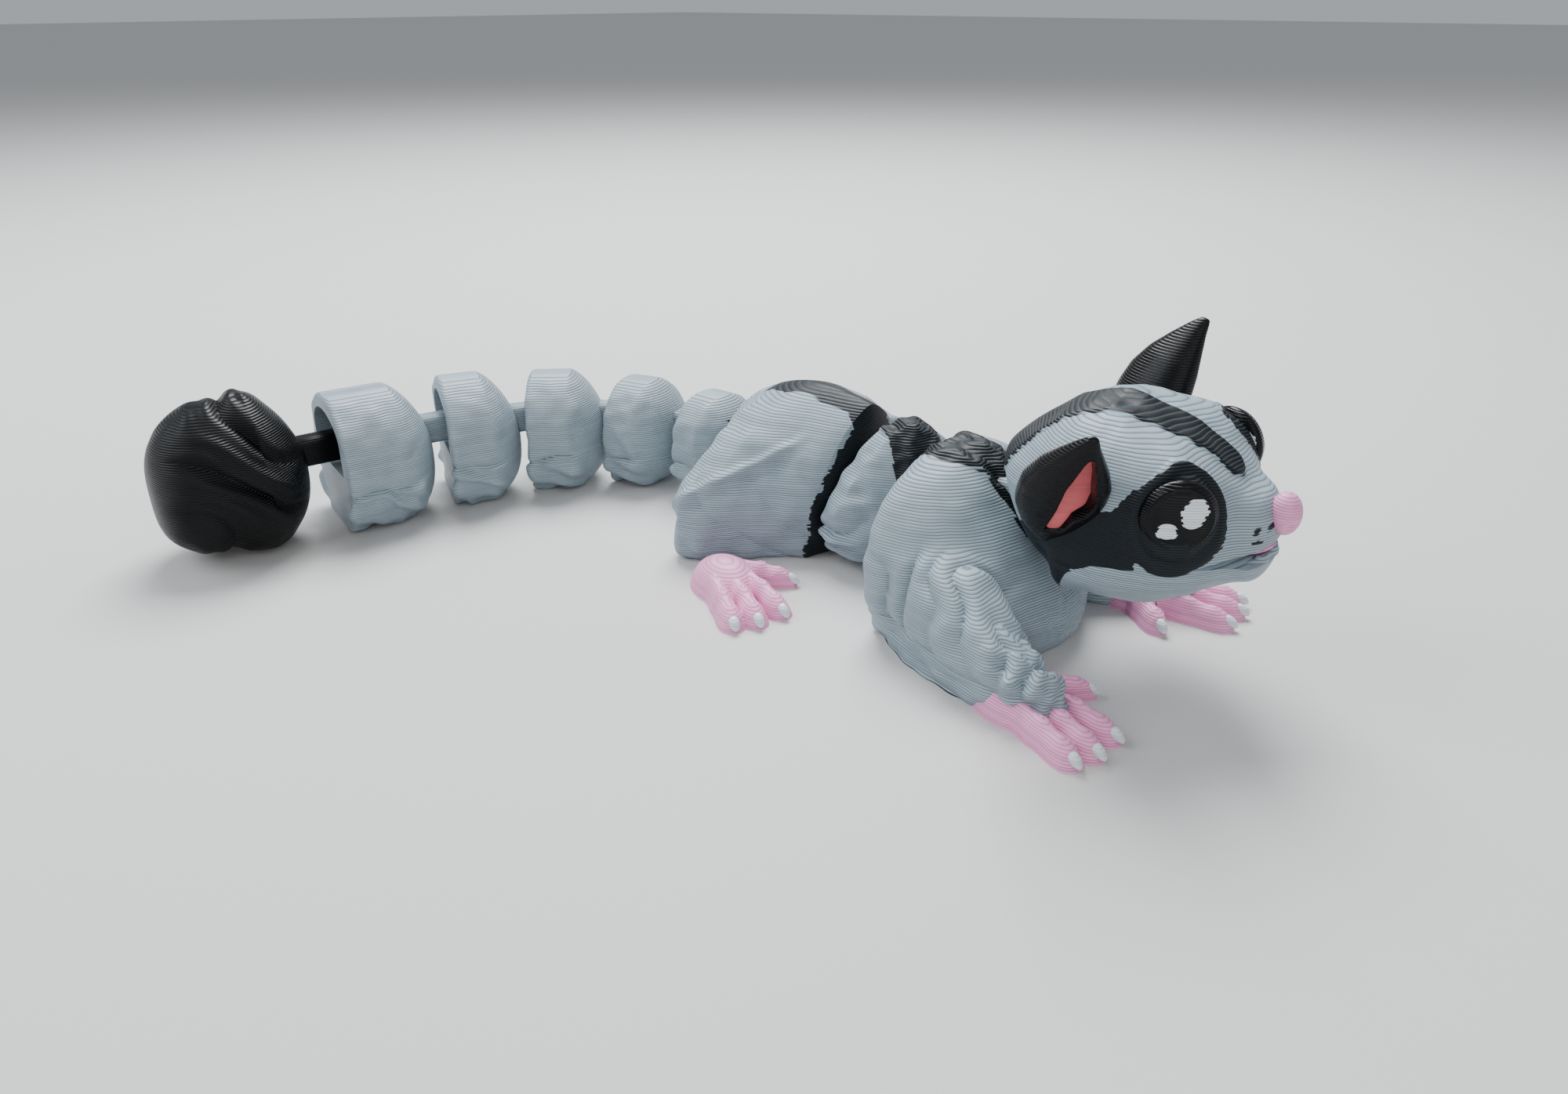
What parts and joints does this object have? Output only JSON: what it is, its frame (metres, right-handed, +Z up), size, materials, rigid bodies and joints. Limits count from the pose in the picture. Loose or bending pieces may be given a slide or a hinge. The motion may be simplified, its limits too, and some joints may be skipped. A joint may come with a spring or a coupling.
{
  "type": "articulated toy sugar glider",
  "caption": "Printed toy sugar glider with a jointed neck, body and tail; its links swing on upright pins, and it lies on flat feet and links.",
  "frame": {"origin": "on the floor under the middle of the chest", "axes": "+X forward along the chest and towards the nose, +Y to the animal's left, +Z up"},
  "size_m": [0.1215, 0.0887, 0.0343],
  "materials": {
    "grey_plastic": "satin printed layers",
    "black_plastic": "satin printed layers",
    "pink_plastic": "satin printed layers",
    "coral_plastic": "satin printed layers",
    "white_plastic": "satin printed layers"
  },
  "bodies": {
    "chest": {"chest": "grey_plastic", "foreleg_left": "grey_plastic", "foreleg_right": "grey_plastic", "forepaw_claw_1_left": "white_plastic", "forepaw_claw_1_right": "white_plastic", "forepaw_claw_2_left": "white_plastic", "forepaw_claw_2_right": "white_plastic", "forepaw_claw_3_left": "white_plastic", "forepaw_claw_3_right": "white_plastic", "forepaw_claw_4_left": "white_plastic", "forepaw_claw_4_right": "white_plastic", "forepaw_left": "pink_plastic", "forepaw_right": "pink_plastic"},
    "head": {"ear_inner_left": "coral_plastic", "ear_inner_right": "coral_plastic", "ear_left": "black_plastic", "ear_right": "black_plastic", "eye_left": "black_plastic", "eye_right": "black_plastic", "head": "grey_plastic", "nose": "pink_plastic", "tongue": "pink_plastic"},
    "mid": {"mid": "grey_plastic"},
    "hip": {"hindleg_left": "grey_plastic", "hindleg_right": "grey_plastic", "hindpaw_claw_1_left": "white_plastic", "hindpaw_claw_1_right": "white_plastic", "hindpaw_claw_2_left": "white_plastic", "hindpaw_claw_2_right": "white_plastic", "hindpaw_claw_3_left": "white_plastic", "hindpaw_claw_3_right": "white_plastic", "hindpaw_claw_4_left": "white_plastic", "hindpaw_claw_4_right": "white_plastic", "hindpaw_left": "pink_plastic", "hindpaw_right": "pink_plastic", "hip": "grey_plastic"},
    "tail_1": {"tail_1": "grey_plastic"},
    "tail_2": {"tail_2": "grey_plastic"},
    "tail_3": {"tail_3": "grey_plastic"},
    "tail_4": {"tail_4": "grey_plastic"},
    "tail_5": {"tail_5": "grey_plastic"},
    "tail_tip": {"tail_tip": "black_plastic"}
  },
  "joints": [
    {"name": "neck_pin", "type": "hinge", "parent": "chest", "child": "head", "pos_m": [0.003, 0, 0.0154], "axis": [0, 0, 1], "range_deg": [-25.3, 14.7]},
    {"name": "chest_pin", "type": "hinge", "parent": "chest", "child": "mid", "pos_m": [-0.0095, 0, 0.0094], "axis": [0, 0, 1], "range_deg": [-1, 59]},
    {"name": "waist_pin", "type": "hinge", "parent": "mid", "child": "hip", "pos_m": [-0.01982, 0.00572, 0.0094], "axis": [0, 0, 1], "range_deg": [-48.5, 3.5]},
    {"name": "tail_pin_1", "type": "hinge", "parent": "hip", "child": "tail_1", "pos_m": [-0.04198, 0.00825, 0.0086], "axis": [0, 0, 1], "range_deg": [-35.5, 20.5]},
    {"name": "tail_pin_2", "type": "hinge", "parent": "tail_1", "child": "tail_2", "pos_m": [-0.05307, 0.00805, 0.009], "axis": [0, 0, 1], "range_deg": [-43, 13]},
    {"name": "tail_pin_3", "type": "hinge", "parent": "tail_2", "child": "tail_3", "pos_m": [-0.06432, 0.00483, 0.0096], "axis": [0, 0, 1], "range_deg": [-55, 1]},
    {"name": "tail_pin_4", "type": "hinge", "parent": "tail_3", "child": "tail_4", "pos_m": [-0.07354, -0.00377, 0.0101], "axis": [0, 0, 1], "range_deg": [-48, 8]},
    {"name": "tail_pin_5", "type": "hinge", "parent": "tail_4", "child": "tail_5", "pos_m": [-0.07921, -0.0149, 0.0106], "axis": [0, 0, 1], "range_deg": [-39, 17]},
    {"name": "tail_tip_pin", "type": "hinge", "parent": "tail_5", "child": "tail_tip", "pos_m": [-0.0834, -0.02951, 0.0109], "axis": [0, 0, 1], "range_deg": [-31, 25]}
  ]
}
